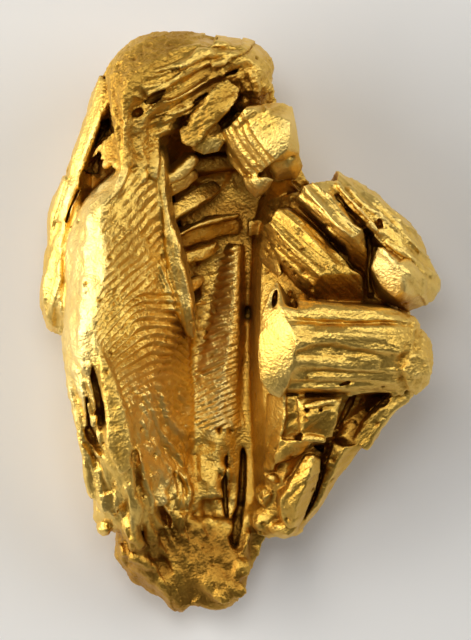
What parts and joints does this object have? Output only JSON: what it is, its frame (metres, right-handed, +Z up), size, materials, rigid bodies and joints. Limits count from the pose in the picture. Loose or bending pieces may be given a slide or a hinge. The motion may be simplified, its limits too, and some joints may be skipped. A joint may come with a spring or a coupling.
{
  "type": "gold nugget",
  "caption": "Crystalline gold nugget lying on its back: elongated hollow body with a raised left wall, a hooded crown and blocky layered crystals on the right.",
  "frame": {"origin": "middle of the bounding box in plan, on the surface that the nugget lies on", "axes": "+Y along the nugget, from its tail to its crown; +X to the side with the blocky crystals; +Z up, out of the open hollow"},
  "size_m": [0.018, 0.0262, 0.0098],
  "materials": {
    "native_gold": "natural, worn: satin to bright on flat crystal faces, granular in the recesses"
  },
  "bodies": {
    "root": {"gold_nugget": "native_gold"}
  },
  "joints": []
}
